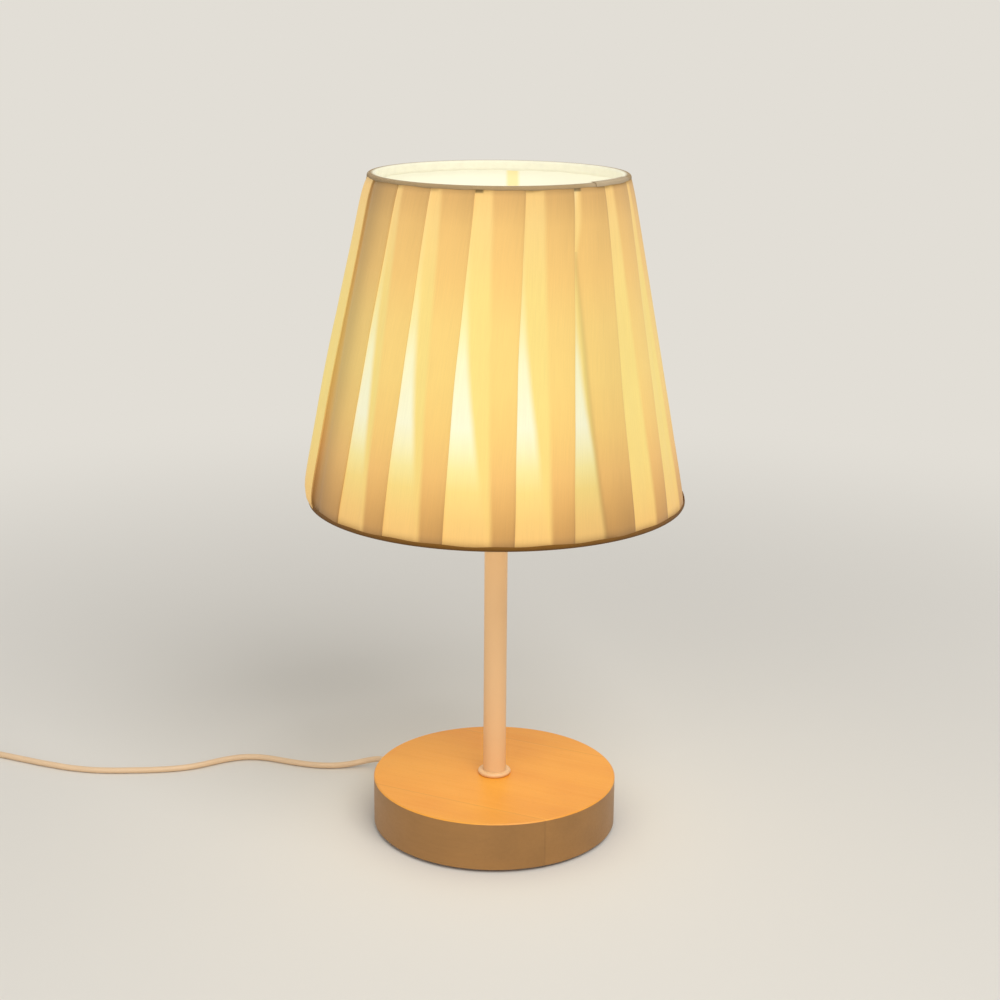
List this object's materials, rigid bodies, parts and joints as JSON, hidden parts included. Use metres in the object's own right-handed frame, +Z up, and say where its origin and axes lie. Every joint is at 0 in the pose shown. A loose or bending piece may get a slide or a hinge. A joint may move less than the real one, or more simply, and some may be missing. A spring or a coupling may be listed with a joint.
{
  "type": "table lamp",
  "caption": "Small table lamp with a round wooden base, a thin white pole and a pleated conical fabric shade, lit, with a mains cord, inline switch and plug.",
  "frame": {"origin": "middle of the base's underside, on the table", "axes": "+Z up along the pole, -Y towards the viewer, the cord leaves at the back left"},
  "size_m": [0.5788, 0.1998, 0.357],
  "materials": {
    "beech_wood": "clear matt lacquer on planed, glued beech",
    "dark_foam": "closed-cell foam",
    "zinc_steel": "bright zinc",
    "white_paint": "satin white powder coat",
    "cord_plastic": "soft white sheath",
    "brown_core": "plain insulation",
    "blue_core": "plain insulation",
    "holder_plastic": "satin heat-resistant moulding",
    "block_ceramic": "unglazed",
    "brass": "bare stamped brass",
    "opal_globe": "opal diffuser, lit",
    "bulb_plastic": "satin moulding",
    "board_white": "white solder resist",
    "board_green": "solder resist",
    "cap_metal": "rolled sheet",
    "black_glass": "vitrified insulator",
    "frame_paint": "white epoxy coat on wire",
    "lining": "white translucent laminate",
    "shade_cloth": "pleated cream cotton, lit from inside",
    "lower_tape": "folded rim tape in shadow",
    "upper_tape": "folded rim tape",
    "switch_plastic": "satin moulding",
    "rocker_plastic": "gloss moulding",
    "plug_plastic": "soft moulding"
  },
  "bodies": {
    "stand": {"base_disc": "beech_wood", "base_pad": "dark_foam", "base_washer": "zinc_steel", "base_nut": "zinc_steel", "threaded_tube": "zinc_steel", "pole_collar": "white_paint", "pole": "white_paint", "strain_relief": "cord_plastic", "inner_cord": "cord_plastic", "live_core": "brown_core", "neutral_core": "blue_core", "holder_cap": "holder_plastic", "cap_grub_screw": "zinc_steel", "contact_block": "block_ceramic", "block_screws": "brass", "screw_shell": "brass", "centre_contact": "brass", "holder_sleeve": "holder_plastic", "cord_lead": "cord_plastic", "cord_link": "cord_plastic", "cord_coil": "cord_plastic", "cord_tail": "cord_plastic", "switch_lower_housing": "switch_plastic", "switch_upper_housing": "switch_plastic", "switch_screws": "zinc_steel", "switch_line_terminal": "brass", "switch_load_terminal": "brass", "switch_pivot_terminal": "brass", "switch_cord_ends": "cord_plastic", "switch_live_cores": "brown_core", "switch_neutral_core": "blue_core", "plug_body": "plug_plastic", "plug_pin_1": "brass", "plug_pin_2": "brass"},
    "shade": {"fitter_ring": "frame_paint", "spider_arm_1": "frame_paint", "spider_arm_2": "frame_paint", "spider_arm_3": "frame_paint", "bottom_ring": "frame_paint", "top_ring": "frame_paint", "shade_lining": "lining", "shade_fabric": "shade_cloth", "bottom_tape": "lower_tape", "top_tape": "upper_tape"},
    "clamp_ring": {"shade_ring": "holder_plastic"},
    "bulb": {"bulb_globe": "opal_globe", "bulb_body": "bulb_plastic", "bulb_led_board": "board_white", "bulb_driver": "board_green", "bulb_screw_cap": "cap_metal", "bulb_insulator": "black_glass", "bulb_tip": "cap_metal"},
    "rocker": {"switch_rocker": "rocker_plastic", "rocker_plunger": "switch_plastic", "rocker_spring": "zinc_steel"},
    "contact_bar": {"switch_contact_bar": "brass"}
  },
  "joints": [
    {"name": "shade_swivel", "type": "hinge", "parent": "stand", "child": "shade", "pos_m": [0, 0, 0.1855], "axis": [0, 0, 1], "continuous": true},
    {"name": "clamp_ring_turn", "type": "hinge", "parent": "stand", "child": "clamp_ring", "pos_m": [0, 0, 0.1873], "axis": [0, 0, 1], "range_deg": [0, 720]},
    {"name": "bulb_unscrew", "type": "slide", "parent": "stand", "child": "bulb", "axis": [0, 0, 1], "range_m": [0, 0.025]},
    {"name": "rocker_tip", "type": "hinge", "parent": "stand", "child": "rocker", "pos_m": [-0.369, 0.088, 0.0124], "axis": [0, 1, 0], "range_deg": [0, 16]},
    {"name": "contact_bar_tip", "type": "hinge", "parent": "stand", "child": "contact_bar", "pos_m": [-0.369, 0.088, 0.0052], "axis": [0, 1, 0], "range_deg": [-10, 0]}
  ],
  "couplings": [
    {"joint": "contact_bar_tip", "follows": "rocker_tip", "ratio": -0.625}
  ]
}
